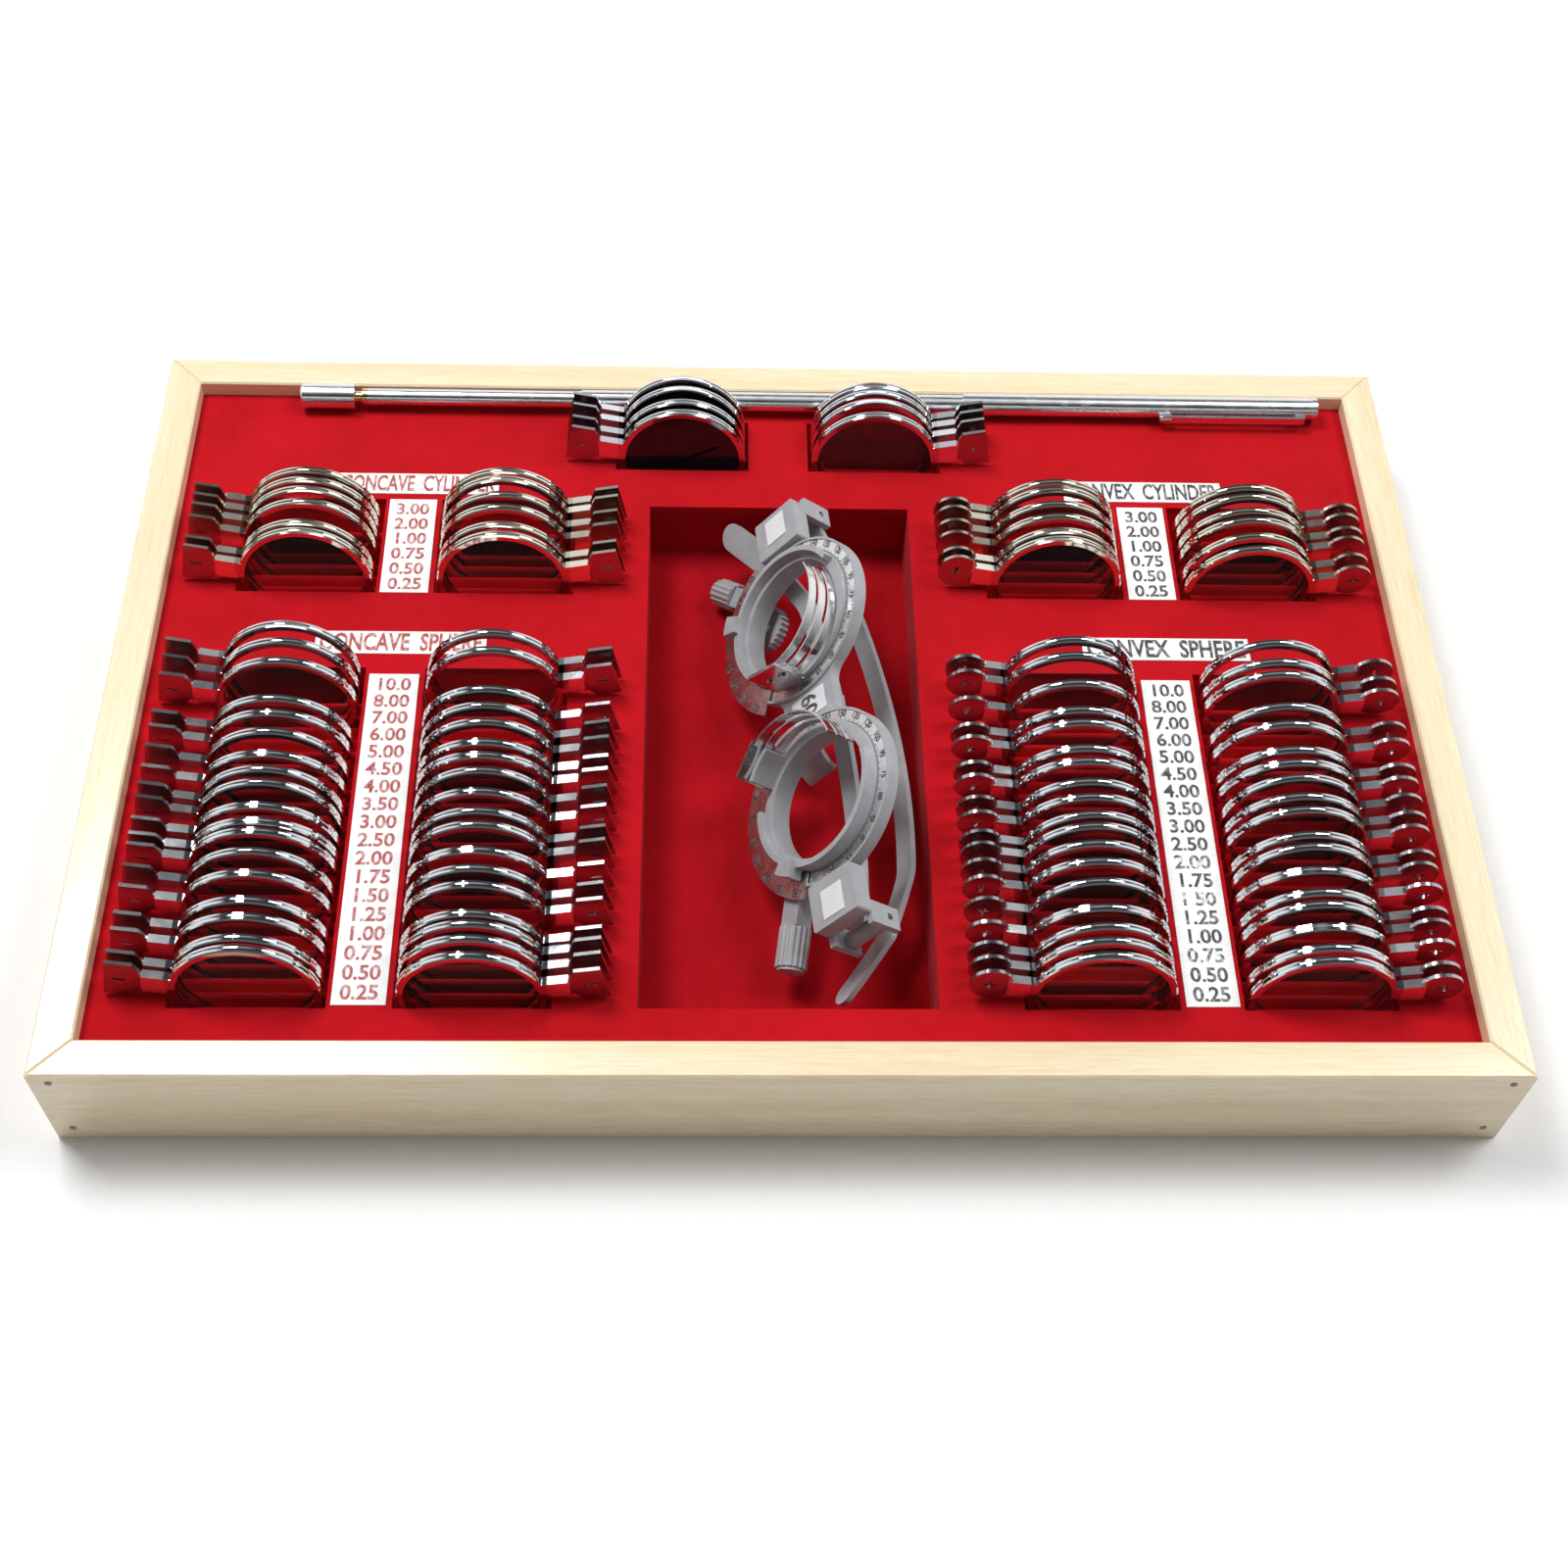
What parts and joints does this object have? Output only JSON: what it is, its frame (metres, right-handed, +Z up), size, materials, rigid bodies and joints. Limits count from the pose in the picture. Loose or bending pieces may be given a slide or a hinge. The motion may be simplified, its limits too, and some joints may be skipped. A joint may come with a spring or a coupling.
{
  "type": "trial lens set",
  "caption": "Open wooden tray with a velvet deck holding rimmed trial lenses in grooved pockets, a tilted trial frame in a deep well and a telescopic pointer.",
  "frame": {"origin": "centre of the tray's underside", "axes": "+X along the tray to the right, +Y to the back, +Z up out of the tray"},
  "size_m": [0.372, 0.2442, 0.062],
  "materials": {
    "birch": "clear-lacquered pale birch",
    "base_panel": "raw plywood",
    "velvet": "short-pile red velvet",
    "card_stock": "printed white card",
    "brad_steel": "steel brads",
    "chrome": "bright chrome plate",
    "nickel": "warm nickel plate",
    "lens_glass": "polished optical glass",
    "red_glass": "red filter glass",
    "black_disc": "black occluder",
    "frame_plastic": "moulded grey nylon",
    "scale_plate": "printed scale plate",
    "label_white": "white label",
    "spring_steel": "polished spring steel",
    "pointer_steel": "drawn steel tube",
    "brass": "turned brass"
  },
  "bodies": {
    "case": {"rail_front": "birch", "rail_back": "birch", "rail_left": "birch", "rail_right": "birch", "base_board": "base_panel", "velvet_deck": "velvet", "well_liner": "velvet", "sphere_racks": "velvet", "cylinder_racks": "velvet", "accessory_racks": "velvet", "power_cards": "card_stock", "header_cards": "card_stock", "corner_pins": "brad_steel", "concave_sphere_rims": "chrome", "concave_sphere_glasses": "lens_glass", "convex_sphere_rims": "chrome", "convex_sphere_glasses": "lens_glass", "concave_cylinder_rims": "nickel", "concave_cylinder_glasses": "lens_glass", "convex_cylinder_rims": "nickel", "convex_cylinder_glasses": "lens_glass", "accessory_rims": "chrome", "accessory_glasses": "lens_glass", "red_filters": "red_glass", "dark_discs": "black_disc"},
    "concave_sphere_lens": {"concave_sphere_loose_rim": "chrome", "concave_sphere_loose_glass": "lens_glass"},
    "convex_sphere_lens": {"convex_sphere_loose_rim": "chrome", "convex_sphere_loose_glass": "lens_glass"},
    "concave_cylinder_lens": {"concave_cylinder_loose_rim": "nickel", "concave_cylinder_loose_glass": "lens_glass"},
    "convex_cylinder_lens": {"convex_cylinder_loose_rim": "nickel", "convex_cylinder_loose_glass": "lens_glass"},
    "slit_lens": {"slit_loose_rim": "chrome", "slit_loose_disc": "black_disc"},
    "frame": {"frame_front": "frame_plastic", "scale_rings": "scale_plate", "end_blocks": "frame_plastic", "hinge_pins": "spring_steel", "frame_labels": "label_white", "knob_necks": "frame_plastic", "nose_bar": "frame_plastic"},
    "right_cell": {"right_cell": "frame_plastic", "right_clip": "spring_steel", "right_clip_rivets": "spring_steel"},
    "left_cell": {"left_cell": "frame_plastic", "left_clip": "spring_steel", "left_clip_rivets": "spring_steel"},
    "right_temple": {"right_temple": "frame_plastic"},
    "left_temple": {"left_temple": "frame_plastic"},
    "right_knob": {"right_knob": "frame_plastic"},
    "left_knob": {"left_knob": "frame_plastic"},
    "nose": {"nose_pad": "frame_plastic"},
    "drive_wheel": {"drive_wheel": "frame_plastic"},
    "pointer_outer": {"pointer_outer_tube": "pointer_steel", "pointer_clip": "pointer_steel"},
    "pointer_middle": {"pointer_middle_tube": "pointer_steel"},
    "pointer_inner": {"pointer_inner_tube": "pointer_steel", "pointer_neck": "brass", "pointer_knob": "pointer_steel"}
  },
  "joints": [
    {"name": "concave_sphere_lift", "type": "slide", "parent": "case", "child": "concave_sphere_lens", "axis": [0, 0.0523, 0.9986], "range_m": [0, 0.06]},
    {"name": "convex_sphere_lift", "type": "slide", "parent": "case", "child": "convex_sphere_lens", "axis": [0, 0.0349, 0.9994], "range_m": [0, 0.06]},
    {"name": "concave_cylinder_lift", "type": "slide", "parent": "case", "child": "concave_cylinder_lens", "axis": [0, 0.0872, 0.9962], "range_m": [0, 0.06]},
    {"name": "convex_cylinder_lift", "type": "slide", "parent": "case", "child": "convex_cylinder_lens", "axis": [0, 0.0175, 0.9998], "range_m": [0, 0.06]},
    {"name": "slit_lift", "type": "slide", "parent": "case", "child": "slit_lens", "axis": [0, 0.0698, 0.9976], "range_m": [0, 0.06]},
    {"name": "frame_lift", "type": "slide", "parent": "case", "child": "frame", "axis": [0, 0, 1], "range_m": [0, 0.45]},
    {"name": "right_temple_fold", "type": "hinge", "parent": "frame", "child": "right_temple", "pos_m": [0.00658, 0.05665, 0.03372], "axis": [0.6394, 0.0655, 0.766], "range_deg": [0, 95]},
    {"name": "left_temple_fold", "type": "hinge", "parent": "frame", "child": "left_temple", "pos_m": [0.02054, -0.07964, 0.03372], "axis": [-0.6394, -0.0655, -0.766], "range_deg": [0, 95]},
    {"name": "right_cell_spin", "type": "hinge", "parent": "frame", "child": "right_cell", "pos_m": [0.00364, 0.01764, 0.0395], "axis": [-0.7621, -0.0781, 0.6428], "continuous": true},
    {"name": "left_cell_spin", "type": "hinge", "parent": "frame", "child": "left_cell", "pos_m": [0.00976, -0.04204, 0.0395], "axis": [-0.7621, -0.0781, 0.6428], "continuous": true},
    {"name": "right_knob_spin", "type": "hinge", "parent": "frame", "child": "right_knob", "pos_m": [-0.01419, 0.04478, 0.01699], "axis": [-0.5106, 0.6829, -0.5224], "continuous": true},
    {"name": "left_knob_spin", "type": "hinge", "parent": "frame", "child": "left_knob", "pos_m": [0.00176, -0.07785, 0.021], "axis": [-0.134, -0.9522, -0.2745], "continuous": true},
    {"name": "nose_slide", "type": "slide", "parent": "frame", "child": "nose", "axis": [0.6394, 0.0655, 0.766], "range_m": [-0.004, 0.0025]},
    {"name": "wheel_spin", "type": "hinge", "parent": "frame", "child": "drive_wheel", "pos_m": [-0.00317, 0.02951, 0.02042], "axis": [-0.7621, -0.0781, 0.6428], "continuous": true},
    {"name": "pointer_lift", "type": "slide", "parent": "case", "child": "pointer_outer", "axis": [0, 0, 1], "range_m": [0, 0.1]},
    {"name": "pointer_middle_slide", "type": "slide", "parent": "pointer_outer", "child": "pointer_middle", "axis": [1, 0, 0], "range_m": [0, 0.08]},
    {"name": "pointer_inner_slide", "type": "slide", "parent": "pointer_middle", "child": "pointer_inner", "axis": [1, 0, 0], "range_m": [0, 0.068]}
  ],
  "couplings": [
    {"joint": "right_temple_fold", "follows": "frame_lift", "rad_per_m": 3.68},
    {"joint": "left_temple_fold", "follows": "frame_lift", "rad_per_m": 3.68}
  ]
}
